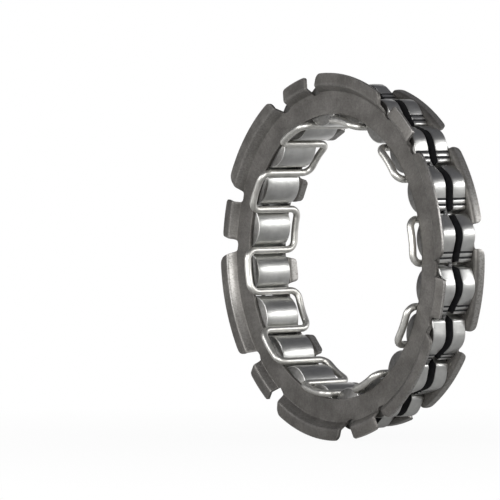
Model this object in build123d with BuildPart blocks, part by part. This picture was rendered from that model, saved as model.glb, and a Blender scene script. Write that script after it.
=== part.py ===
from build123d import *
from math import atan, atan2, cos, degrees, radians, sin, sqrt, tan
import os

os.makedirs("parts", exist_ok=True)

# Sprag clutch insert: twenty sprags between a shaft and an outer race, held in line by two
# stamped cage plates, a meander of round wire and a garter spring in the sprags' groove.
# Millimetres. The clutch axis is Z, the flanged plate faces +Z, and the origin lies on the
# axis halfway along the sprags. The first sprag stands on +X.

# The shaft that the clutch runs on, and the space from it to the bore of the outer race
shaft_diameter = 54.765
sprag_space = 8.33

# Sprags
sprag_count = 20
sprag_length = 8.2
crest_radius = 3.8
crest_offset = 0.5
shoulder_slope = 31
shoulder_run = 2.6
shoulder_corner = 1.0
cam_slope = 26
cam_run = 4.4
nose_corner = 0.6
toe_bite = 0.35
toe_radius = 4.7
toe_sweep = 190

# Groove round the sprags and the marks ground across their cam faces, measured from the nose
groove_width = 1.85
groove_depth = 4.2
mark_runs = (1.3, 2.45)
mark_width = 0.25
mark_depth = 0.14

# Garter spring in the groove
spring_diameter = 1.0
spring_seat_gap = 0.3

# Cage plates, both stamped from the same sheet, with the same radius inside every bend
sheet = 0.6
bend_radius = 0.25
end_play = 0.05
plate_bore_gap = 1.9

# Flanged front plate: six wide tabs, stepped forward, and six narrow tabs, bent back
front_tab_sets = 6
front_phase = 40.7
flange_overlap = 2.04
flange_step = 1.62
step_setback = 1.42
step_run = 1.33
narrow_crest = 1.4
narrow_crest_run = 1.1
narrow_fall = 0.73
narrow_tab_width = 8.1
narrow_tab_corner = 0.5
wide_tab_corner = 1.2
front_notch_setback = 1.05
front_notch_width = 2.3
front_notch_corner = 1.1
front_notch_flare = 35

# Rear plate: ten turned outer tabs and ten tongues inside the bore
rear_lip_gap = 0.21
rear_lip_depth = 2.2
rear_lip_lean = 0.35
rear_lip_corner = 1.3
rear_notch_width = 5.1
rear_notch_depth = 1.2
rear_notch_corner = 0.5
tongue_shaft_gap = 0.12
tongue_lip_depth = 2.25
tongue_lip_lean = 0.3
tongue_base_width = 6.2
tongue_tip_width = 4.5
tongue_corner = 0.6

# Meander wire: straight legs between the sprags, joined over their ends in turn
wire_diameter = 1.5
wire_bore_gap = 0.35
wire_overhang = 1.35
wire_crest_bulge = 0.2
wire_corner_radius = 1.9
wire_crest_bend = 18.0

# Places worked out from the sizes above
sprag_pitch = 360 / sprag_count
half_length = sprag_length / 2
shaft_radius = shaft_diameter / 2
crest_reach = shaft_radius + sprag_space
toe_reach = shaft_radius - toe_bite
crest_center = crest_reach - crest_radius
toe_center = toe_reach + toe_radius
groove_floor = crest_reach - groove_depth
bore_radius = shaft_radius + plate_bore_gap
plate_seat = half_length + end_play
outer_bend = bend_radius + sheet
cut_margin = 2.0


def radial_plane(angle):
    """The plane through the clutch axis at an angle: its x is the radius and its y is Z."""
    turn = radians(angle)
    return Plane(origin=(0, 0, 0), x_dir=(cos(turn), sin(turn), 0), z_dir=(sin(turn), -cos(turn), 0))


def ring_point(radius, angle, height):
    """A point at a radius and an angle about the clutch axis."""
    return (radius * cos(radians(angle)), radius * sin(radians(angle)), height)


def export_node(part, name):
    """Label a finished piece and write it under its own name."""
    part.label = name
    export_step(part, f"parts/{name}.step")


# Sprags: the head is a round crest between a short shoulder and a long cam face that slopes
# down to the nose. It stands on a round toe, which nearly touches the toes beside it.
with BuildSketch() as sprag_profile:
    with BuildLine():
        crest = CenterArc(
            (crest_center, crest_offset), crest_radius, -cam_slope, cam_slope + shoulder_slope
        )
        toe = CenterArc((toe_center, 0), toe_radius, 180 - toe_sweep / 2, toe_sweep)
        shoulder_tip = crest @ 1 + (crest % 1) * shoulder_run
        nose_tip = crest @ 0 - (crest % 0) * cam_run
        FilletPolyline(crest @ 1, shoulder_tip, toe @ 0, radius=shoulder_corner)
        FilletPolyline(toe @ 1, nose_tip, crest @ 0, radius=nose_corner)
    make_face()
    for mark_run in mark_runs:
        mark_spot = nose_tip + (crest % 0) * mark_run
        with Locations(Location((mark_spot.X, mark_spot.Y, 0), (0, 0, -cam_slope))):
            Rectangle(2 * mark_depth, mark_width, mode=Mode.SUBTRACT)

for sprag_index in range(sprag_count):
    sprag_angle = sprag_index * sprag_pitch
    sprag_plane = Plane.XY.rotated((0, 0, sprag_angle))
    with BuildPart() as sprag:
        with BuildSketch(sprag_plane.offset(-half_length)):
            add(sprag_profile.sketch)
        extrude(amount=sprag_length)
        with BuildSketch(Plane.XY.offset(-groove_width / 2)):
            Circle(crest_reach + cut_margin)
            Circle(groove_floor, mode=Mode.SUBTRACT)
        extrude(amount=groove_width, mode=Mode.SUBTRACT)
    export_node(sprag.part, f"sprag_{sprag_index + 1:02d}")

# Garter spring: its coils are close enough to model as one ring
spring_ring_radius = groove_floor + spring_seat_gap + spring_diameter / 2

with BuildPart() as garter_spring:
    with BuildSketch(Plane.XZ):
        with Locations((spring_ring_radius, 0)):
            Circle(spring_diameter / 2)
    revolve(axis=Axis.Z)
export_node(garter_spring.part, "garter_spring")

# Front plate: the flat ring and the two kinds of tab are revolved, then trimmed to the
# outline of the blank, whose rounded notches part the tabs.
front_face = plate_seat + sheet
flange_radius = crest_reach + flange_overlap
step_start_radius = crest_reach - step_setback
step_end_radius = step_start_radius + step_run
ring_edge_radius = step_start_radius - outer_bend
trim_radius = flange_radius + cut_margin
front_notch_floor = step_start_radius - front_notch_setback
notch_near = narrow_tab_width / 2
notch_far = notch_near + front_notch_width
notch_flare_reach = (trim_radius - front_notch_floor) * tan(radians(front_notch_flare))
tab_set_angle = 360 / front_tab_sets
narrow_sector = 2 * degrees(atan((notch_near + notch_far) / 2 / front_notch_floor))
wide_sector = tab_set_angle - narrow_sector


def on_rim(corner):
    """Whether a corner of the front blank lies on its outer edge."""
    return abs(Vector(corner).length - flange_radius) < sheet / 10


def on_narrow_tab(corner):
    """Whether a corner of the front blank belongs to a narrow tab."""
    turn = (degrees(atan2(corner.Y, corner.X)) - front_phase) % tab_set_angle
    return min(turn, tab_set_angle - turn) < narrow_sector / 2


with BuildSketch() as front_notches:
    with BuildLine():
        notch_edge = FilletPolyline(
            (trim_radius, notch_near),
            (front_notch_floor, notch_near),
            (front_notch_floor, notch_far),
            (trim_radius, notch_far + notch_flare_reach),
            radius=front_notch_corner,
        )
        Line(notch_edge @ 1, notch_edge @ 0)
    make_face()
    mirror(about=Plane.XZ)

with BuildSketch() as front_blank:
    Circle(flange_radius)
    Circle(bore_radius, mode=Mode.SUBTRACT)
    with PolarLocations(0, front_tab_sets, start_angle=front_phase):
        add(front_notches.sketch, mode=Mode.SUBTRACT)
    rim_corners = front_blank.vertices().filter_by(on_rim)
    fillet(rim_corners.filter_by(on_narrow_tab), narrow_tab_corner)
    rim_corners = front_blank.vertices().filter_by(on_rim)
    fillet(rim_corners.filter_by(on_narrow_tab, reverse=True), wide_tab_corner)

with BuildPart() as front_plate:
    with BuildSketch(Plane.XY.offset(plate_seat)):
        Circle(ring_edge_radius)
        Circle(bore_radius, mode=Mode.SUBTRACT)
    extrude(amount=sheet)
    for set_index in range(front_tab_sets):
        narrow_start = front_phase + set_index * tab_set_angle - narrow_sector / 2
        with BuildSketch(radial_plane(narrow_start)):
            with BuildLine() as narrow_run:
                FilletPolyline(
                    (ring_edge_radius, plate_seat),
                    (step_start_radius, plate_seat),
                    (step_start_radius + narrow_crest_run, plate_seat + narrow_crest),
                    (trim_radius, plate_seat + narrow_crest - narrow_fall),
                    radius=[outer_bend, bend_radius],
                )
                offset(amount=sheet, side=Side.LEFT)
            make_face()
        revolve(axis=Axis.Z, revolution_arc=narrow_sector)
        with BuildSketch(radial_plane(narrow_start + narrow_sector)):
            with BuildLine() as wide_run:
                FilletPolyline(
                    (ring_edge_radius, plate_seat),
                    (step_start_radius, plate_seat),
                    (step_end_radius, plate_seat + flange_step),
                    (trim_radius, plate_seat + flange_step),
                    radius=[outer_bend, bend_radius],
                )
                offset(amount=sheet, side=Side.LEFT)
            make_face()
        revolve(axis=Axis.Z, revolution_arc=wide_sector)
    with BuildSketch(Plane.XY):
        add(front_blank.sketch)
    extrude(amount=front_face + flange_step + cut_margin, mode=Mode.INTERSECT)
export_node(front_plate.part, "front_plate")

# Rear plate: outer lips turned back just inside the race bore, parted by ten notches, and a
# tongue at each notch that runs in behind the sprag and turns back along the shaft. The
# tongue tapers along its run and its lip alike, so its sides are cut square to the diagonal.
tongue_count = sprag_count // 2
tongue_pitch = 360 / tongue_count
rear_lip_radius = crest_reach - rear_lip_gap
rear_notch_floor = rear_lip_radius - rear_notch_depth
rear_trim_radius = rear_lip_radius + cut_margin
tongue_reach = shaft_radius + tongue_shaft_gap
tongue_run = bore_radius - tongue_reach + tongue_lip_depth
taper_length = tongue_run / sqrt(2)
taper_plane = Plane(origin=(bore_radius, 0, -plate_seat), x_dir=(-1, 0, -1), z_dir=(1, 0, -1))

with BuildSketch() as rear_blank:
    Circle(rear_trim_radius)
    Circle(bore_radius, mode=Mode.SUBTRACT)
    with PolarLocations((rear_notch_floor + rear_trim_radius) / 2, tongue_count):
        RectangleRounded(
            rear_trim_radius - rear_notch_floor,
            rear_notch_width,
            rear_notch_corner,
            mode=Mode.SUBTRACT,
        )

with BuildPart() as tongue:
    with BuildSketch(Plane.XZ):
        with BuildLine():
            FilletPolyline(
                (bore_radius + sheet, -plate_seat),
                (tongue_reach + tongue_lip_lean, -plate_seat),
                (tongue_reach, -plate_seat - tongue_lip_depth),
                radius=outer_bend,
            )
            offset(amount=sheet, side=Side.LEFT)
        make_face()
    extrude(amount=tongue_base_width / 2, both=True)
    with BuildSketch(taper_plane):
        with BuildLine():
            Polyline(
                (-sheet, tongue_base_width / 2),
                (0, tongue_base_width / 2),
                (taper_length, tongue_tip_width / 2),
                (taper_length + sheet, tongue_tip_width / 2),
                (taper_length + sheet, -tongue_tip_width / 2),
                (taper_length, -tongue_tip_width / 2),
                (0, -tongue_base_width / 2),
                (-sheet, -tongue_base_width / 2),
                close=True,
            )
        make_face()
    extrude(amount=tongue_run, both=True, mode=Mode.INTERSECT)
    tip_face = tongue.faces().sort_by(Axis.Z)[0]
    fillet(tip_face.edges().group_by(SortBy.LENGTH)[0], tongue_corner)

with BuildPart() as rear_plate:
    with BuildSketch(Plane.XZ):
        with BuildLine():
            FilletPolyline(
                (bore_radius, -plate_seat),
                (rear_lip_radius - rear_lip_lean, -plate_seat),
                (rear_lip_radius, -plate_seat - rear_lip_depth),
                radius=outer_bend,
            )
            offset(amount=sheet, side=Side.RIGHT)
        make_face()
    revolve(axis=Axis.Z)
    with BuildSketch(Plane.XY):
        add(rear_blank.sketch)
    extrude(amount=-(plate_seat + rear_lip_depth + cut_margin), mode=Mode.INTERSECT)
    lip_rims = rear_plate.faces().group_by(Axis.Z)[0].edges()
    fillet(lip_rims.filter_by(lambda edge: edge.length < 2 * sheet), rear_lip_corner)
    with PolarLocations(0, tongue_count):
        add(tongue.part)
export_node(rear_plate.part, "rear_plate")

# Retaining wire: one period is swept, from the middle of one leg to the leg after next, and
# repeated round the ring. It crosses the front of one sprag and the back of its neighbour.
wire_cross = plate_seat + sheet + wire_overhang
wire_leg_radius = bore_radius - wire_bore_gap - wire_diameter / 2
wire_crest_radius = wire_leg_radius + wire_crest_bulge

with BuildPart() as wire_period:
    with BuildLine() as wire_path:
        FilletPolyline(
            ring_point(wire_leg_radius, -sprag_pitch / 2, 0),
            ring_point(wire_leg_radius, -sprag_pitch / 2, wire_cross),
            ring_point(wire_crest_radius, 0, wire_cross),
            ring_point(wire_leg_radius, sprag_pitch / 2, wire_cross),
            ring_point(wire_leg_radius, sprag_pitch / 2, -wire_cross),
            ring_point(wire_crest_radius, sprag_pitch, -wire_cross),
            ring_point(wire_leg_radius, sprag_pitch * 3 / 2, -wire_cross),
            ring_point(wire_leg_radius, sprag_pitch * 3 / 2, 0),
            radius=[
                wire_corner_radius,
                wire_crest_bend,
                wire_corner_radius,
                wire_corner_radius,
                wire_crest_bend,
                wire_corner_radius,
            ],
        )
    with BuildSketch(Plane(wire_path.line ^ 0)):
        Circle(wire_diameter / 2)
    sweep()

with BuildPart() as retaining_wire:
    with PolarLocations(0, tongue_count):
        add(wire_period.part)
export_node(retaining_wire.part, "retaining_wire")
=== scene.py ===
from math import asin, atan2, ceil, cos, degrees, hypot, pi, radians, sin, sqrt, tan

import bmesh
import bpy
from mathutils import Matrix, Vector


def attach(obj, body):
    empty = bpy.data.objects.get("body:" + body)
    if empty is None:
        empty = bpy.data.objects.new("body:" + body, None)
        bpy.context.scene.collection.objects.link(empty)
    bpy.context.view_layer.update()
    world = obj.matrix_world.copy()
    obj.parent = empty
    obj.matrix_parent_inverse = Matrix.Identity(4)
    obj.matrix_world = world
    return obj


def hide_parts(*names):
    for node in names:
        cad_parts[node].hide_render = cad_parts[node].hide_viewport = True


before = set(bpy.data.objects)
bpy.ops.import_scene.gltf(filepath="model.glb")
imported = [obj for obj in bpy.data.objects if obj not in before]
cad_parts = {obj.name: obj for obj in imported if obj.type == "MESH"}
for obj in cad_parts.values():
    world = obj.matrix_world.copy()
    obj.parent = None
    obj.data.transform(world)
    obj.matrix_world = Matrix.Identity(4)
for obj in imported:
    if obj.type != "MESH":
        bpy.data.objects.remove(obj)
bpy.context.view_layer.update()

# The sprag clutch stands on its rim, as in the photograph, and the camera looks level at its
# flanged front from one side. Sizes are the model's own, in millimetres, and each mesh is
# scaled to metres as it is made.
MM = 0.001

# The shaft, and the space from it to the bore of the outer race
shaft_radius = 27.3825
sprag_space = 8.33

# Sprags
sprag_count = 20
sprag_length = 8.2
crest_radius = 3.8
crest_offset = 0.5
shoulder_slope = 31
shoulder_run = 2.6
shoulder_corner = 1.0
cam_slope = 26
cam_run = 4.4
nose_corner = 0.6
toe_bite = 0.35
toe_radius = 4.7
toe_sweep = 190

# Groove and marks. The marks lie 0.18 mm nearer the nose than in the solids, as photographed.
groove_width = 1.85
groove_depth = 4.2
mark_runs = (1.12, 2.27)
mark_depth = 0.14
mark_half_floor = 0.04
mark_half_width = 0.24

# Garter spring
spring_diameter = 1.0
spring_seat_gap = 0.3

# Cage plates
sheet = 0.6
bend_radius = 0.25
end_play = 0.05
plate_bore_gap = 1.9

# Front plate
front_tab_sets = 6
front_phase = 40.7
flange_overlap = 2.04
flange_step = 1.62
step_setback = 1.42
step_run = 1.33
narrow_crest = 1.4
narrow_crest_run = 1.1
narrow_fall = 0.73
narrow_tab_width = 8.1
narrow_tab_corner = 0.5
wide_tab_corner = 1.2
front_notch_setback = 1.05
front_notch_width = 2.3
front_notch_corner = 1.1
front_notch_flare = 35
cut_margin = 2.0

# Rear plate
rear_lip_gap = 0.21
rear_lip_depth = 2.2
rear_lip_lean = 0.35
rear_lip_corner = 1.3
rear_notch_width = 5.1
rear_notch_depth = 1.2
rear_notch_corner = 0.5
tongue_shaft_gap = 0.12
tongue_lip_depth = 2.25
tongue_lip_lean = 0.3
tongue_base_width = 6.2
tongue_tip_width = 4.5
tongue_corner = 0.6

# Retaining wire
wire_diameter = 1.5
wire_bore_gap = 0.35
wire_overhang = 1.35
wire_crest_bulge = 0.2
wire_corner_radius = 1.9
wire_crest_bend = 18.0

# Places worked out from the sizes
sprag_pitch = 360 / sprag_count
half_length = sprag_length / 2
crest_reach = shaft_radius + sprag_space
toe_reach = shaft_radius - toe_bite
crest_center = crest_reach - crest_radius
toe_center = toe_reach + toe_radius
groove_floor = crest_reach - groove_depth
bore_radius = shaft_radius + plate_bore_gap
plate_seat = half_length + end_play
outer_bend = bend_radius + sheet
flange_radius = crest_reach + flange_overlap
step_start = crest_reach - step_setback
front_notch_floor = step_start - front_notch_setback
wire_cross = plate_seat + sheet + wire_overhang
wire_leg_radius = bore_radius - wire_bore_gap - wire_diameter / 2
wire_crest_radius = wire_leg_radius + wire_crest_bulge


# Mesh helpers

pieces = []


def piece(name, mesh, body, slot, material, *nodes):
    """A visible piece from a mesh: it rides on a body and stands for the CAD nodes."""
    made = bpy.data.objects.new(name, mesh)
    bpy.context.collection.objects.link(made)
    made.data.materials.append(material)
    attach(made, body)
    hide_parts(*nodes)
    pieces.append(made)


def mesh_from(name, points, faces, sharp_angle, merge_distance=1e-7):
    """A mesh in metres from points in millimetres, smooth except past the sharp angle."""
    mesh = bpy.data.meshes.new(name)
    mesh.from_pydata([Vector(point) * MM for point in points], [], faces)
    mesh.validate()
    work = bmesh.new()
    work.from_mesh(mesh)
    bmesh.ops.remove_doubles(work, verts=work.verts, dist=merge_distance)
    bmesh.ops.recalc_face_normals(work, faces=work.faces)
    work.to_mesh(mesh)
    work.free()
    mesh.shade_smooth()
    mesh.set_sharp_from_angle(angle=radians(sharp_angle))
    return mesh


def arc_points(center, radius, start, end, count):
    """Points along an arc, angles in degrees."""
    steps = [radians(start + (end - start) * i / count) for i in range(count + 1)]
    return [(center[0] + radius * cos(a), center[1] + radius * sin(a)) for a in steps]


def bent_path(corners, radii, turn_steps, run_step):
    """Points and directions along straight runs in a plane that are joined by arcs."""
    runs = [Vector(b) - Vector(a) for a, b in zip(corners, corners[1:])]
    setbacks = [0.0]
    for radius, before, after in zip(radii, runs, runs[1:]):
        setbacks.append(radius * tan(before.angle(after) / 2))
    setbacks.append(0.0)
    path = []
    for i, run in enumerate(runs):
        along = run.normalized()
        start = Vector(corners[i]) + along * setbacks[i]
        end = Vector(corners[i + 1]) - along * setbacks[i + 1]
        count = max(1, ceil((end - start).length / run_step))
        path += [(start.lerp(end, step / count), along) for step in range(count + 1)]
        if i + 1 < len(runs):
            after = runs[i + 1].normalized()
            turn = along.angle_signed(after)
            side = -1 if turn > 0 else 1
            hub = end + Vector((-along.y, along.x)) * radii[i] * side
            for step in range(1, turn_steps):
                spin = Matrix.Rotation(-turn * step / turn_steps, 2)
                path.append((hub + spin @ (end - hub), spin @ along))
    return path


def sheet_rows(corners, radii, thickness, turn_steps=7, run_step=0.6):
    """Paired points on the drawn face and on the face a thickness to its left."""
    rows = []
    for spot, along in bent_path(corners, radii, turn_steps, run_step):
        rows.append((spot, spot + Vector((-along.y, along.x)) * thickness))
    return rows


def sheet_mesh(name, quads, rim=0.07, sharp_angle=40, corner_turn=60):
    """A closed sheet from quads of (drawn face, far face) point pairs.

    Its rims are rounded, apart from edges that meet in a turn past corner_turn degrees.
    """
    index, near, far = {}, [], []

    def number(pair):
        key = tuple(round(value, 4) for value in (*pair[0], *pair[1]))
        if key not in index:
            index[key] = len(near)
            near.append(pair[0])
            far.append(pair[1])
        return index[key]

    numbered = []
    for quad in quads:
        ring = list(dict.fromkeys(number(pair) for pair in quad))
        if len(ring) > 2:
            numbered.append(ring)
    used = dict.fromkeys(side for ring in numbered for side in zip(ring, ring[1:] + ring[:1]))
    total = len(near)
    faces = list(numbered)
    faces += [[i + total for i in reversed(ring)] for ring in numbered]
    rims = [(a, b) for a, b in used if (b, a) not in used]
    faces += [[b, a, a + total, b + total] for a, b in rims]
    mesh = bpy.data.meshes.new(name)
    mesh.from_pydata([Vector(p) * MM for p in near + far], [], faces)
    work = bmesh.new()
    work.from_mesh(mesh)
    bmesh.ops.recalc_face_normals(work, faces=work.faces)
    work.verts.ensure_lookup_table()
    after = dict(rims)
    square_corners = set()
    for a, b in rims:
        here = Vector(near[b])
        if (here - Vector(near[a])).angle(Vector(near[after[b]]) - here) > radians(corner_turn):
            square_corners.add(b)
    edges = []
    for a, b in rims:
        if a in square_corners or b in square_corners:
            continue
        for first, second in ((a, b), (a + total, b + total)):
            edge = work.edges.get((work.verts[first], work.verts[second]))
            if edge:
                edges.append(edge)
    bmesh.ops.bevel(work, geom=edges, offset=rim * MM, segments=2, profile=0.5, affect="EDGES")
    work.to_mesh(mesh)
    work.free()
    mesh.shade_smooth()
    mesh.set_sharp_from_angle(angle=radians(sharp_angle))
    return mesh


def spin_point(spot, angle):
    """A point of a profile (radius, height) carried round the axis to an angle in degrees."""
    return (spot[0] * cos(radians(angle)), spot[0] * sin(radians(angle)), spot[1])


# Front plate

def front_notch_edges(past_rim=1, turn_steps=10, run_step=0.4):
    """A notch's near and far edges beside a narrow tab, as (radius, angle) from the bottom up."""
    near = narrow_tab_width / 2
    far = near + front_notch_width
    top = flange_radius + past_rim
    corners = [
        (top, near),
        (front_notch_floor, near),
        (front_notch_floor, far),
        (top, far + (top - front_notch_floor) * tan(radians(front_notch_flare))),
    ]
    path = bent_path(corners, [front_notch_corner] * 2, turn_steps, run_step)
    polar = [(spot.length, degrees(atan2(spot.y, spot.x))) for spot, _ in path]
    lowest = polar.index(min(polar))
    return polar[lowest::-1], polar[lowest:]


def edge_angle(edge, radius):
    """The angle of a notch's edge at a radius."""
    for (low, start), (high, end) in zip(edge, edge[1:]):
        if low <= radius <= high:
            return start + (end - start) * (radius - low) / (high - low)
    return edge[0][1] if radius < edge[0][0] else edge[-1][1]


def corner_side(radius, tip, corner):
    """The angle that a tab's rounded outer corner takes at a radius, in degrees."""
    inside = min(max(0.0, radius - (tip - corner)), corner)
    return degrees((corner - sqrt(corner ** 2 - inside ** 2)) / radius)


def front_plate_mesh(seam=0.05, run_step=0.4, narrow_columns=12, wide_columns=28):
    """Six wide tabs stepped up to a flange and six narrow ones, on one flat ring."""
    near_edge, far_edge = front_notch_edges()
    bottom, split = near_edge[0]
    flat_end = bottom - seam
    flat_rows = sheet_rows([(bore_radius, plate_seat), (flat_end, plate_seat)], [], sheet)
    wide_corners = [
        (flat_end, plate_seat),
        (step_start, plate_seat),
        (step_start + step_run, plate_seat + flange_step),
        (flange_radius, plate_seat + flange_step),
    ]
    # The narrow tabs fall as far as cut_margin past the rim, and the sheet is cut at the rim
    narrow_start = step_start + narrow_crest_run
    kept_fall = (flange_radius - narrow_start) / (flange_radius + cut_margin - narrow_start)
    narrow_corners = [
        (flat_end, plate_seat),
        (step_start, plate_seat),
        (narrow_start, plate_seat + narrow_crest),
        (flange_radius, plate_seat + narrow_crest - narrow_fall * kept_fall),
    ]
    pitch = 360 / front_tab_sets
    bends = [outer_bend, bend_radius]
    narrow = (front_phase, near_edge, 1, split, narrow_corners, narrow_tab_corner, narrow_columns)
    wide_phase, wide_half = front_phase + pitch / 2, pitch / 2 - split
    wide = (wide_phase, far_edge, -1, wide_half, wide_corners, wide_tab_corner, wide_columns)
    quads = []
    for phase, edge, way, half_sector, corners, tip_corner, columns in (narrow, wide):
        rows = flat_rows[:-1] + sheet_rows(corners, bends, sheet, run_step=run_step)
        wanted = [radius for radius, _ in edge if radius < bottom + front_notch_corner]
        rows = refine_rows(rows, wanted + corner_rows(flange_radius, tip_corner))
        for tab in range(front_tab_sets):
            middle = phase + tab * pitch
            grid = []
            for pair in rows:
                line = []
                for column in range(columns + 1):
                    share = 2 * column / columns - 1
                    spots = []
                    for spot in pair:
                        side = way * (split - edge_angle(edge, spot[0]))
                        side += corner_side(spot[0], flange_radius, tip_corner)
                        spots.append(spin_point(spot, middle + share * (half_sector - side)))
                    line.append(tuple(spots))
                grid.append(line)
            quads += grid_quads(grid)
    return sheet_mesh("front_plate_steel", quads)


def corner_rows(tip, corner, turns=(0, 25, 45, 62, 78)):
    """The radii where a tab's rounded outer corner needs rows."""
    return [tip - corner * (1 - sin(radians(turn))) for turn in turns]


def refine_rows(rows, wanted, closest=0.02):
    """More rows at the wanted radii, except where a row lies close by."""
    made = [rows[0]]
    for before, after in zip(rows, rows[1:]):
        start, end = before[0][0], after[0][0]
        for radius in sorted(wanted):
            if start + closest < radius < end - closest:
                share = (radius - start) / (end - start)
                made.append(tuple(a.lerp(b, share) for a, b in zip(before, after)))
        made.append(after)
    return made


def grid_quads(grid):
    """Quads between the neighbouring rows and columns of a grid of points."""
    quads = []
    for low, high in zip(grid, grid[1:]):
        for i in range(len(low) - 1):
            quads.append((low[i], low[i + 1], high[i + 1], high[i]))
    return quads


# Rear plate

def notch_side(radius, floor, width, corner, halvings=40):
    """Half the angle that a round-bottomed notch takes at a radius, in degrees."""
    if radius <= floor:
        return 0.0
    low, high = 0.0, asin(min(1.0, width / 2 / radius))
    for _ in range(halvings):
        half = (low + high) / 2
        across = radius * sin(half)
        depth = radius * cos(half) - floor
        if depth < corner:
            limit = width / 2 - corner + sqrt(max(0.0, corner ** 2 - (corner - max(depth, 0)) ** 2))
        else:
            limit = width / 2
        if depth > 0 and across < limit:
            low = half
        else:
            high = half
    return degrees(low)


def rear_plate_mesh(run_step=0.15, tongue_columns=4, rest_columns=12):
    """Ten outer tabs with their lips turned back, and ten turned tongues in the bore."""
    count = sprag_count // 2
    pitch = 360 / count
    lip_radius = crest_reach - rear_lip_gap
    floor = lip_radius - rear_notch_depth
    corners = [
        (floor - outer_bend, -plate_seat),
        (lip_radius - rear_lip_lean, -plate_seat),
        (lip_radius, -plate_seat - rear_lip_depth),
    ]
    rows = sheet_rows([(bore_radius, -plate_seat), corners[0]], [], -sheet)[:-1]
    rows += sheet_rows(corners, [outer_bend], -sheet, run_step=run_step)
    turns = (0, 12, 25, 38, 52, 70, 90)
    rows = refine_rows(rows, [floor + rear_notch_corner * (1 - cos(radians(a))) for a in turns])
    lip_end = Vector(corners[2])
    # Columns meet the tongues' own ones on both sides of a tab, with even ones between them
    tongue_half = degrees(asin(tongue_base_width / 2 / bore_radius))
    shares = [1 - tongue_half / (pitch / 2) * i / tongue_columns for i in range(tongue_columns + 1)]
    edge = shares[-1]
    middle_shares = [edge - 2 * edge * i / rest_columns for i in range(1, rest_columns)]
    shares = shares + middle_shares + [-share for share in reversed(shares)]
    tongue_path = sheet_rows(
        [
            (bore_radius, -plate_seat),
            (shaft_radius + tongue_shaft_gap + tongue_lip_lean, -plate_seat),
            (shaft_radius + tongue_shaft_gap, -plate_seat - tongue_lip_depth),
        ],
        [outer_bend],
        sheet,
        run_step=run_step,
    )
    quads = []
    for index in range(count):
        middle = (index + 0.5) * pitch
        grid = []
        for pair in rows:
            line = []
            for share in shares:
                spots = []
                for spot in pair:
                    side = notch_side(spot[0], floor, rear_notch_width, rear_notch_corner)
                    left = max(0.0, spot[1] - lip_end.y)
                    if left < rear_lip_corner:
                        left = rear_lip_corner - left
                        left = rear_lip_corner - sqrt(rear_lip_corner ** 2 - left ** 2)
                        side += degrees(left / spot[0])
                    spots.append(spin_point(spot, middle + share * (pitch / 2 - side)))
                line.append(tuple(spots))
            grid.append(line)
        quads += [tuple(reversed(quad)) for quad in grid_quads(grid)]
        quads += tongue_quads(tongue_path, index * pitch, tongue_half, tongue_columns)
    return sheet_mesh("rear_plate_steel", quads)


def tongue_quads(path, angle, half_angle, columns):
    """One tongue: it starts on the bore's own points and narrows towards its tip."""
    run = bore_radius - shaft_radius - tongue_shaft_gap + tongue_lip_depth
    lengths = [0.0]
    for before, after in zip(path, path[1:]):
        lengths.append(lengths[-1] + (after[0] - before[0]).length)
    grid = []
    for row, pair in enumerate(path):
        line = []
        for column in range(-columns, columns + 1):
            share = column / columns
            spots = []
            for spot in pair:
                if row == 0:
                    spots.append(spin_point(spot, angle + share * half_angle))
                    continue
                down = (bore_radius - spot[0] - plate_seat - spot[1]) / run
                half = tongue_base_width / 2 - (tongue_base_width - tongue_tip_width) / 2 * down
                left = lengths[-1] - lengths[row]
                if left < tongue_corner:
                    half -= tongue_corner - sqrt(tongue_corner ** 2 - (tongue_corner - left) ** 2)
                across = share * half
                turn = radians(angle)
                spots.append(
                    (
                        spot[0] * cos(turn) - across * sin(turn),
                        spot[0] * sin(turn) + across * cos(turn),
                        spot[1],
                    )
                )
            line.append(tuple(spots))
        grid.append(line)
    return grid_quads(grid)


# Sprags

def sprag_outline(crest_steps=18, toe_steps=48, corner_steps=8, longest_run=9):
    """The outline as (point, inward normal, mark depth), from the crest round to it."""
    crest_middle, toe_start = (crest_center, crest_offset), 180 - toe_sweep / 2
    crest = arc_points(crest_middle, crest_radius, -cam_slope, shoulder_slope, crest_steps)
    toe = arc_points((toe_center, 0), toe_radius, toe_start, 180 + toe_sweep / 2, toe_steps)
    down = Vector((-sin(radians(shoulder_slope)), cos(radians(shoulder_slope))))
    along_cam = Vector((sin(radians(cam_slope)), cos(radians(cam_slope))))
    shoulder_tip = Vector(crest[-1]) + down * shoulder_run
    nose_tip = Vector(crest[0]) - along_cam * cam_run
    shoulder_side = [crest[-1], shoulder_tip, toe[0]]
    nose_side = [toe[-1], nose_tip, crest[0]]
    shoulder = bent_path(shoulder_side, [shoulder_corner], corner_steps, longest_run)
    nose = bent_path(nose_side, [nose_corner], corner_steps, longest_run)
    spots = [(spot, 0) for spot in crest]
    spots += [(spot, 0) for spot, _ in shoulder[1:-1]]
    spots += [(spot, 0) for spot in toe]
    spots += [(spot, 0) for spot, _ in nose[1:-1]]
    mark_side = ((mark_half_width, 0), (mark_half_floor, mark_depth))
    for run in mark_runs:
        spots += [(nose_tip + along_cam * (run - away), deep) for away, deep in mark_side]
        spots += [(nose_tip + along_cam * (run + away), deep) for away, deep in mark_side[::-1]]
    # The shank ends where the outline crosses the groove's floor, so points are added there
    crossed = []
    for (before, deep), (after, _) in zip(spots, spots[1:] + spots[:1]):
        before, after = Vector(before), Vector(after)
        crossed.append((before, deep))
        low, high = before.length - groove_floor, after.length - groove_floor
        if low * high < 0:
            crossed.append((before.lerp(after, low / (low - high)), 0))
    outline = []
    for i, (here, deep) in enumerate(crossed):
        before = crossed[i - 1][0]
        after = crossed[(i + 1) % len(crossed)][0]
        way = (here - before).normalized() + (after - here).normalized()
        way.normalize()
        outline.append((here, Vector((-way.y, way.x)), deep))
    return outline


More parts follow.
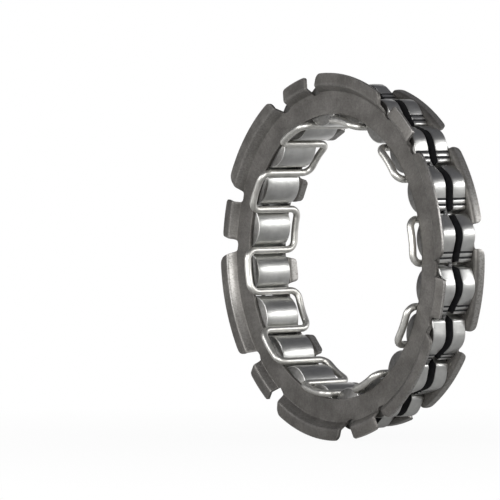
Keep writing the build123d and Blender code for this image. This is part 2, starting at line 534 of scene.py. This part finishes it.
def sprag_mesh(end_round=0.2, groove_round=0.16, part_way=0.3, close=0.001):
    """Two lands on a common shank, with a groove between them and fine rounded edges."""
    outline = sprag_outline()
    head = {i for i, (spot, _, _) in enumerate(outline) if spot.length > groove_floor + close}
    flank = [atan2(s.y, s.x) for s, _, _ in outline if abs(s.length - groove_floor) < close]
    half_groove = groove_width / 2
    layers = [
        (-half_length, end_round, "end"),
        (-half_length + part_way * end_round, part_way * end_round, "end"),
        (-half_length + end_round, 0.0, "end"),
        (-half_groove - groove_round, 0.0, "groove"),
        (-half_groove - part_way * groove_round, part_way * groove_round, "groove"),
        (-half_groove, groove_round, "groove"),
    ]
    points, faces, rings = [], [], []

    def ring_at(height, inset, kind, floor=False):
        ring = []
        for i, (spot, inward, deep) in enumerate(outline):
            if i in head:
                shift = max(inset, deep)
            else:
                shift = inset if kind == "end" else 0.0
            at = spot + inward * shift
            if floor and i in head:
                angle = min(max(atan2(at.y, at.x), min(flank)), max(flank))
                at = Vector((cos(angle), sin(angle))) * groove_floor
            ring.append(len(points))
            points.append((at.x, at.y, height))
        return ring

    for height, inset, kind in layers:
        rings.append(ring_at(height, inset, kind))
    rings.append(ring_at(-half_groove, 0.0, "groove", floor=True))
    rings.append(ring_at(half_groove, 0.0, "groove", floor=True))
    for height, inset, kind in reversed(layers):
        rings.append(ring_at(-height, inset, kind))
    size = len(outline)
    for low, high in zip(rings, rings[1:]):
        for i in range(size):
            j = (i + 1) % size
            faces.append((low[i], low[j], high[j], high[i]))
    faces.append(tuple(reversed(rings[0])))
    faces.append(tuple(rings[-1]))
    return points, faces


# Wire and garter spring

def round_path(corners, radii, step_turn=9):
    """Points along straight runs in space that are joined by arcs, round a closed loop."""
    path = []
    total = len(corners)
    for i in range(total):
        here = Vector(corners[i])
        into = (here - Vector(corners[i - 1])).normalized()
        out = (Vector(corners[(i + 1) % total]) - here).normalized()
        turn = into.angle(out)
        setback = radii[i] * tan(turn / 2)
        start = here - into * setback
        end = here + out * setback
        hub = here + (out - into).normalized() * radii[i] / cos(turn / 2)
        axis = into.cross(out).normalized()
        steps = max(3, ceil(degrees(turn) / step_turn))
        for step in range(steps + 1):
            path.append(hub + Matrix.Rotation(turn * step / steps, 3, axis) @ (start - hub))
    return path


def tube_mesh(name, path, radius, sides=16):
    """A closed tube round a closed path, its section carried along without twist."""
    total = len(path)
    tangents = [(path[(i + 1) % total] - path[i - 1]).normalized() for i in range(total)]
    side = tangents[0].orthogonal().normalized()
    sections = []
    for tangent in tangents:
        side = (side - tangent * side.dot(tangent)).normalized()
        sections.append((side.copy(), tangent.cross(side)))
    # The section's turn at the loop's end is taken back along the whole loop
    first, last = sections[0], sections[-1]
    drift = atan2(last[0].dot(first[1]), last[0].dot(first[0]))
    points, faces = [], []
    for i, center in enumerate(path):
        spin = -drift * i / (total - 1)
        u, v = sections[i]
        for k in range(sides):
            a = 2 * pi * k / sides + spin
            points.append(center + (u * cos(a) + v * sin(a)) * radius)
    for i in range(total):
        j = (i + 1) % total
        for k in range(sides):
            m = (k + 1) % sides
            faces.append((i * sides + k, i * sides + m, j * sides + m, j * sides + k))
    return mesh_from(name, points, faces, sharp_angle=80)


def wire_path():
    """The meander: a leg between each pair of sprags, crossing front and back in turn."""
    corners, radii = [], []
    for index in range(sprag_count // 2):
        turn = index * 2 * sprag_pitch
        for share, side in ((0, 1), (1, -1)):
            middle = turn + share * sprag_pitch
            for offset, radius, bend in (
                (-0.5, wire_leg_radius, wire_corner_radius),
                (0.0, wire_crest_radius, wire_crest_bend),
                (0.5, wire_leg_radius, wire_corner_radius),
            ):
                spot = spin_point((radius, side * wire_cross), middle + offset * sprag_pitch)
                corners.append(spot)
                radii.append(bend)
    return round_path(corners, radii)


def garter_path(turns=620, steps=9, wire=0.26):
    """A fine coil wound round the ring that lies in the sprags' groove, and its wire's radius."""
    ring = groove_floor + spring_seat_gap + spring_diameter / 2
    coil = (spring_diameter - wire) / 2
    path = []
    for i in range(turns * steps):
        around = 2 * pi * i / (turns * steps)
        wind = 2 * pi * i / steps
        radius = ring + coil * cos(wind)
        path.append(Vector((radius * cos(around), radius * sin(around), coil * sin(wind))))
    return path, wire / 2


# Materials

def node_material(name):
    """A material with its node tree emptied, and the tree's shader already in place."""
    material = bpy.data.materials.new(name)
    material.use_nodes = True
    tree = material.node_tree
    tree.nodes.clear()
    output = tree.nodes.new("ShaderNodeOutputMaterial")
    shader = tree.nodes.new("ShaderNodeBsdfPrincipled")
    tree.links.new(shader.outputs["BSDF"], output.inputs["Surface"])
    return material, tree, shader


def add_node(tree, kind, settings=None, **inputs):
    """A node with its settings and its input values set."""
    node = tree.nodes.new(kind)
    for key, value in (settings or {}).items():
        setattr(node, key, value)
    for key, value in inputs.items():
        node.inputs[key.replace("_", " ")].default_value = value
    return node


def object_place(tree):
    """The place on an object, in metres along the model's axes."""
    return tree.nodes.new("ShaderNodeTexCoord").outputs["Object"]


def noise(tree, place, scale, detail=4.0, roughness=0.55):
    """A noise texture over a place vector, in waves per metre."""
    node = add_node(tree, "ShaderNodeTexNoise", None, Scale=scale, Detail=detail, Roughness=roughness)
    tree.links.new(place, node.inputs["Vector"])
    return node.outputs["Fac"]


def ramp(tree, value, stops):
    """A colour ramp over a value, from (position, colour) stops."""
    node = tree.nodes.new("ShaderNodeValToRGB")
    tree.links.new(value, node.inputs["Fac"])
    band = node.color_ramp
    band.elements[0].position, band.elements[0].color = stops[0][0], (*stops[0][1], 1)
    band.elements[1].position, band.elements[1].color = stops[-1][0], (*stops[-1][1], 1)
    for position, color in stops[1:-1]:
        band.elements.new(position).color = (*color, 1)
    return node.outputs["Color"]


def span(tree, value, low, high):
    """A value from 0 to 1, mapped to the range from low to high."""
    node = add_node(tree, "ShaderNodeMapRange", None, To_Min=low, To_Max=high)
    tree.links.new(value, node.inputs["Value"])
    return node.outputs["Result"]


def bump(tree, height, depth, strength):
    """A bump from a height value, its depth in metres."""
    node = add_node(tree, "ShaderNodeBump", None, Distance=depth, Strength=strength)
    tree.links.new(height, node.inputs["Height"])
    return node.outputs["Normal"]


def math_node(tree, operation, first, second):
    """Two values joined by a sum, a product or another operation."""
    node = add_node(tree, "ShaderNodeMath", {"operation": operation})
    for value, socket in zip((first, second), node.inputs):
        if isinstance(value, float):
            socket.default_value = value
        else:
            tree.links.new(value, socket)
    return node.outputs[0]


def between(tree, value, low, high, soft):
    """1 where a value lies between two limits, falling off softly on both sides."""
    rise = add_node(tree, "ShaderNodeMapRange", None, From_Min=low - soft, From_Max=low + soft)
    fall = add_node(tree, "ShaderNodeMapRange", None, From_Min=high + soft, From_Max=high - soft)
    tree.links.new(value, rise.inputs["Value"])
    tree.links.new(value, fall.inputs["Value"])
    return math_node(tree, "MULTIPLY", rise.outputs["Result"], fall.outputs["Result"])


def along(tree, place, direction, start, end):
    """How far a place lies along a direction, as 0 at the start and 1 at the end."""
    dot = add_node(tree, "ShaderNodeVectorMath", {"operation": "DOT_PRODUCT"})
    tree.links.new(place, dot.inputs[0])
    dot.inputs[1].default_value = direction
    run = add_node(tree, "ShaderNodeMapRange", None, From_Min=start, From_Max=end)
    tree.links.new(dot.outputs["Value"], run.inputs["Value"])
    return run.outputs["Result"]


def distance(tree, place):
    """How far a place lies from the origin, in metres."""
    node = add_node(tree, "ShaderNodeVectorMath", {"operation": "LENGTH"})
    tree.links.new(place, node.inputs[0])
    return node.outputs["Value"]


def set_metal(tree, shader, metallic, color, rough, normal=None):
    """A metal's share, colour, roughness and bump, given to its shader."""
    shader.inputs["Metallic"].default_value = metallic
    tree.links.new(color, shader.inputs["Base Color"])
    tree.links.new(rough, shader.inputs["Roughness"])
    if normal:
        tree.links.new(normal, shader.inputs["Normal"])


def plate_wear_and_highlight(tree, place, grain):
    """Where the sheet is lighter: a painted highlight on the steps, on one tab's step most, and wear
    on the rim and the turned-back edges.
    """
    parts = tree.nodes.new("ShaderNodeSeparateXYZ")
    tree.links.new(place, parts.inputs["Vector"])
    height = parts.outputs["Z"]
    flat = add_node(tree, "ShaderNodeVectorMath", {"operation": "MULTIPLY"})
    tree.links.new(place, flat.inputs[0])
    flat.inputs[1].default_value = (1, 1, 0)
    reach = distance(tree, flat.outputs["Vector"])
    soft, softer, far_away = 0.1 * MM, 0.2 * MM, 1.0
    step_foot, step_top = (step_start + 0.2) * MM, (step_start + step_run) * MM
    above_ring = (plate_seat + sheet + 0.1) * MM
    below_ring = -(plate_seat + sheet + 0.3) * MM
    rim_start = (flange_radius - 0.12) * MM
    step = between(tree, reach, step_foot, step_top, softer)
    step = math_node(tree, "MULTIPLY", step, between(tree, height, above_ring, far_away, soft))
    # Painted highlight: the steps are lightened a little all round, and most on the side of the ring
    # at 179 degrees.
    highlight_side = radians(179)
    highlight_nearness = along(tree, place, (cos(highlight_side), sin(highlight_side), 0), 33.8 * MM, 35.0 * MM)
    step = math_node(tree, "MULTIPLY", step, span(tree, highlight_nearness, 0.2, 1.0))
    rim = between(tree, reach, rim_start, far_away, soft)
    turned = between(tree, height, -far_away, below_ring, softer)
    wear_and_highlight = math_node(tree, "MAXIMUM", step, math_node(tree, "MAXIMUM", rim, turned))
    patchy = add_node(tree, "ShaderNodeMapRange", None, From_Min=0.35, From_Max=0.55, To_Min=0.35)
    tree.links.new(grain, patchy.inputs["Value"])
    return math_node(tree, "MULTIPLY", wear_and_highlight, patchy.outputs["Result"])


def color_mix(tree, share, color, other):
    """A colour that gives way to another by a share."""
    mix = add_node(tree, "ShaderNodeMix", {"data_type": "RGBA"})
    # The node keeps sockets for every kind of value, and these are the ones for colours
    factor, first, second, result = mix.inputs[0], mix.inputs[6], mix.inputs[7], mix.outputs[2]
    tree.links.new(share, factor)
    tree.links.new(color, first)
    second.default_value = other
    return result


def plate_material():
    """Stamped sheet with a dull brown-grey skin, fine grain, blotches, rubbed edges and a painted
    highlight on the steps.
    """
    material, tree, shader = node_material("cage_plate_steel")
    place = object_place(tree)
    blotch = noise(tree, place, 160, 5.0, 0.6)
    grain = noise(tree, place, 2600, 3.0, 0.6)
    skin = math_node(tree, "ADD", span(tree, blotch, 0.0, 0.6), span(tree, grain, 0.0, 0.4))
    color = ramp(tree, skin, (
        (0.38, (0.122, 0.116, 0.107)),
        (0.5, (0.168, 0.160, 0.149)),
        (0.62, (0.228, 0.218, 0.204)),
    ))
    # The painted highlight on the steps and the wear on the rim and the turned-back edges lighten the
    # sheet towards bare steel.
    wear_and_highlight = plate_wear_and_highlight(tree, place, grain)
    bare_steel_and_highlight = (0.35, 0.34, 0.325, 1)
    color = color_mix(tree, wear_and_highlight, color, bare_steel_and_highlight)
    rough = math_node(tree, "SUBTRACT", span(tree, grain, 0.38, 0.60), span(tree, wear_and_highlight, 0.0, 0.16))
    set_metal(tree, shader, 0.75, color, rough, bump(tree, grain, 0.00003, 0.55))
    return material


def sprag_material():
    """Ground and tumbled steel, bright on the lands."""
    material, tree, shader = node_material("sprag_ground_steel")
    place = object_place(tree)
    stretch = add_node(tree, "ShaderNodeMapping", None, Scale=(1.0, 1.0, 0.12))
    tree.links.new(place, stretch.inputs["Vector"])
    lines = noise(tree, stretch.outputs["Vector"], 3800, 4.0, 0.65)
    blotch = noise(tree, place, 420, 4.0, 0.6)
    color = ramp(tree, blotch, ((0.3, (0.53, 0.53, 0.515)), (0.7, (0.67, 0.67, 0.65))))
    rough = span(tree, lines, 0.25, 0.46)
    set_metal(tree, shader, 1.0, color, rough, bump(tree, lines, 0.00003, 0.55))
    return material


def groove_shade_material():
    """Painted shade: the sprags' groove and marks are coloured near black, as the shade that falls in
    them.
    """
    material, tree, shader = node_material("sprag_groove_painted_shade")
    place = object_place(tree)
    grain = noise(tree, place, 1800, 4.0, 0.6)
    color = ramp(tree, grain, ((0.3, (0.012, 0.012, 0.014)), (0.7, (0.03, 0.03, 0.032))))
    set_metal(tree, shader, 0.4, color, span(tree, grain, 0.45, 0.7))
    return material


def end_material():
    """The sprags' cut ends, darker than their ground lands."""
    material, tree, shader = node_material("sprag_end_steel")
    place = object_place(tree)
    grain = noise(tree, place, 1400, 4.0, 0.6)
    color = ramp(tree, grain, ((0.3, (0.20, 0.196, 0.188)), (0.7, (0.31, 0.305, 0.293))))
    rough = span(tree, grain, 0.34, 0.48)
    set_metal(tree, shader, 1.0, color, rough, bump(tree, grain, 0.00001, 0.4))
    return material


def wire_material(name, low, high):
    """Drawn spring wire."""
    material, tree, shader = node_material(name)
    place = object_place(tree)
    blotch = noise(tree, place, 900, 4.0, 0.6)
    color = ramp(tree, blotch, ((0.3, low), (0.7, high)))
    rough = span(tree, blotch, 0.32, 0.52)
    set_metal(tree, shader, 1.0, color, rough, bump(tree, blotch, 0.00001, 0.2))
    return material


plate_steel = plate_material()
sprag_steel = sprag_material()
groove_painted_shade = groove_shade_material()
end_steel = end_material()
wire_steel = wire_material("retaining_wire_steel", (0.66, 0.65, 0.61), (0.78, 0.77, 0.73))
garter_steel = wire_material("garter_wire_steel", (0.36, 0.36, 0.36), (0.50, 0.50, 0.49))


# The clutch

piece("front_cage_plate", front_plate_mesh(), "cage", "cage_plate", plate_steel, "front_plate")
piece("rear_cage_plate", rear_plate_mesh(), "cage", "cage_plate", plate_steel, "rear_plate")
piece(
    "meander_wire",
    tube_mesh("meander_wire_steel", wire_path(), wire_diameter / 2),
    "cage",
    "cage_wire",
    wire_steel,
    "retaining_wire",
)
coil_path, coil_radius = garter_path()
piece(
    "coiled_garter_spring",
    tube_mesh("garter_coil_steel", coil_path, coil_radius, sides=6),
    "cage",
    "garter_wire",
    garter_steel,
    "garter_spring",
)


def finish_sprag(mesh, marks, close=0.02, mark_reach=0.16, shank_reach=0.4, flat=0.95):
    """Painted shade, near black, in the groove and the marks, and a darker finish on the flat ends.
    """
    mesh.materials.append(groove_painted_shade)
    mesh.materials.append(end_steel)
    shaded, cut = 1, 2
    for face in mesh.polygons:
        center = face.center / MM
        in_mark = min((center.xy - spot).length for spot in marks) < mark_reach
        in_groove = abs(center.z) < groove_width / 2 + close
        above_shank = hypot(center.x, center.y) > groove_floor - shank_reach
        at_end = abs(center.z) > half_length - close
        # The groove and the marks take the near-black painted shade.
        if in_mark or in_groove and above_shank:
            face.material_index = shaded
        elif at_end and abs(face.normal.z) > flat:
            face.material_index = cut


sprag_points, sprag_faces = sprag_mesh()
mark_floors = [spot + inward * mark_depth for spot, inward, deep in sprag_outline() if deep]
for index in range(sprag_count):
    turn = radians(index * sprag_pitch)
    turned = [
        (x * cos(turn) - y * sin(turn), x * sin(turn) + y * cos(turn), z) for x, y, z in sprag_points
    ]
    node = f"sprag_{index + 1:02d}"
    mesh = mesh_from(f"{node}_steel", turned, sprag_faces, sharp_angle=35)
    piece(f"{node}_ground", mesh, node, "sprag_steel", sprag_steel, node)
    finish_sprag(mesh, [Matrix.Rotation(turn, 2) @ spot for spot in mark_floors])


# Camera, floor and light

def photo_axes():
    """The picture's right, up and towards-the-viewer axes, in the model's frame."""
    look, tilt, roll, phase = radians(54.34), radians(1.91), radians(0.39), radians(-7.73)
    turn = Matrix.Rotation(phase, 3, "Z")
    rows = (
        Matrix.Rotation(roll, 3, "Z")
        @ Matrix.Rotation(tilt, 3, "X")
        @ Matrix(((cos(look), 0, -sin(look)), (0, 1, 0), (sin(look), 0, cos(look))))
    )
    return turn @ rows.transposed()


axes = photo_axes()
picture_up = axes @ Vector((0, 1, 0))
picture_back = axes @ Vector((0, 0, -1))

# The width of a pixel at the flange. The camera stands view_distance pixels away and aims
# beside the clutch, which the picture shows right of the middle.
PX = 0.2052 * MM
picture_width = 500
view_distance = 3433
picture_offset = Vector((-76.52, 6.98, 0)) * PX
flange_plane = Vector((0, 0, 31.05)) * PX


def photo_place(right, up, near):
    """A place given along the picture's axes from the middle of the ring, in metres."""
    return axes @ Vector((right, up, near))


camera = bpy.data.cameras.new("camera")
camera.sensor_width = 36
camera.lens = camera.sensor_width * view_distance / picture_width
camera.clip_start = 0.01
camera.clip_end = 10
camera_object = bpy.data.objects.new("camera", camera)
bpy.context.collection.objects.link(camera_object)
stand = axes @ (picture_offset + Vector((0, 0, view_distance * PX))) + flange_plane
camera_object.matrix_world = Matrix.Translation(stand) @ axes.to_4x4()
bpy.context.scene.camera = camera_object


def white_share(tree, behind, most=1.0):
    """The white background: whatever the camera or glass sees, and for metal, what is behind."""
    rays = tree.nodes.new("ShaderNodeLightPath").outputs
    seen = math_node(tree, "MAXIMUM", rays["Is Camera Ray"], rays["Is Transmission Ray"])
    mirrored = math_node(tree, "MULTIPLY", rays["Is Glossy Ray"], behind)
    return math_node(tree, "MULTIPLY", math_node(tree, "MAXIMUM", seen, mirrored), most)


def floor_material():
    """A plain pale floor with the ring's shadow, which shows only from its upper side."""
    material, tree, shader = node_material("floor_white")
    place = object_place(tree)
    pale, paler = (0.80, 0.80, 0.79), (0.82, 0.82, 0.81)
    tone = ramp(tree, noise(tree, place, 6), ((0.0, pale), (1.0, paler)))
    tree.links.new(tone, shader.inputs["Base Color"])
    shader.inputs["Roughness"].default_value = 0.9
    shader.inputs["Specular IOR Level"].default_value = 0.0
    glow = add_node(tree, "ShaderNodeEmission", None, Color=(1, 1, 1, 1), Strength=1.0)
    clear = tree.nodes.new("ShaderNodeBsdfTransparent")
    white = tree.nodes.new("ShaderNodeMixShader")
    # Near the ring a little of the floor's own tone stays, which keeps the shadow faintly there
    most = add_node(tree, "ShaderNodeMapRange", None, From_Min=0.04, From_Max=0.16, To_Min=0.95)
    tree.links.new(distance(tree, place), most.inputs["Value"])
    behind = along(tree, place, picture_back, 0.05, 0.15)
    share = white_share(tree, behind, most.outputs["Result"])
    tree.links.new(share, white.inputs["Fac"])
    tree.links.new(shader.outputs["BSDF"], white.inputs[1])
    tree.links.new(glow.outputs["Emission"], white.inputs[2])
    side = tree.nodes.new("ShaderNodeMixShader")
    face = tree.nodes.new("ShaderNodeNewGeometry")
    tree.links.new(face.outputs["Backfacing"], side.inputs["Fac"])
    tree.links.new(white.outputs["Shader"], side.inputs[1])
    tree.links.new(clear.outputs["BSDF"], side.inputs[2])
    output = next(node for node in tree.nodes if node.type == "OUTPUT_MATERIAL")
    tree.links.new(side.outputs["Shader"], output.inputs["Surface"])
    return material


ground = min(vertex.co.dot(picture_up) for made in pieces for vertex in made.data.vertices)
floor_reach = 0.6
floor_mesh = bpy.data.meshes.new("floor")
floor_corners = [
    photo_place(right * floor_reach, ground, near * floor_reach)
    for right, near in ((-1, 1), (1, 1), (1, -1), (-1, -1))
]
floor_mesh.from_pydata(floor_corners, [], [(0, 1, 2, 3)])
floor_object = bpy.data.objects.new("floor", floor_mesh)
bpy.context.collection.objects.link(floor_object)
floor_mesh.materials.append(floor_material())


def area_light(name, place, size, power):
    """A rectangular lamp at a place along the picture's axes, upright and aimed at the ring."""
    light = bpy.data.lights.new(name, "AREA")
    light.shape = "RECTANGLE"
    light.size, light.size_y = size
    light.energy = power
    lamp = bpy.data.objects.new(name, light)
    bpy.context.collection.objects.link(lamp)
    spot = photo_place(*place)
    back = spot.normalized()
    side = picture_up.cross(back).normalized()
    turn = Matrix((side, back.cross(side), back)).transposed()
    lamp.matrix_world = Matrix.Translation(spot) @ turn.to_4x4()


area_light("right", (0.44, 0.14, 0.11), (0.42, 0.12), 0.82)
area_light("front", (-0.06, 0.12, 0.6), (0.36, 0.2), 1.8)
area_light("left", (-0.6, 0.14, 0.26), (0.4, 0.4), 2.05)


def studio_world():
    """White behind the ring; to the metal, grey at eye level and dark above, below and far left."""
    world = bpy.data.worlds.new("studio")
    bpy.context.scene.world = world
    world.use_nodes = True
    tree = world.node_tree
    way = tree.nodes.new("ShaderNodeTexCoord").outputs["Generated"]
    room = ramp(tree, along(tree, way, picture_up, -1.0, 1.0), (
        (0.20, (0.10, 0.10, 0.11)),
        (0.34, (0.55, 0.55, 0.55)),
        (0.52, (0.55, 0.55, 0.55)),
        (0.68, (0.11, 0.11, 0.12)),
    ))
    far_side = along(tree, way, axes @ Vector((-0.95, 0, -0.32)), 0.3, 0.85)
    dim = color_mix(tree, far_side, room, (0.08, 0.08, 0.09, 1))
    share = white_share(tree, along(tree, way, picture_back, 0.85, 0.93))
    seen = color_mix(tree, share, dim, (1, 1, 1, 1))
    tree.links.new(seen, tree.nodes["Background"].inputs["Color"])


studio_world()

bpy.context.scene.view_settings.view_transform = "Standard"
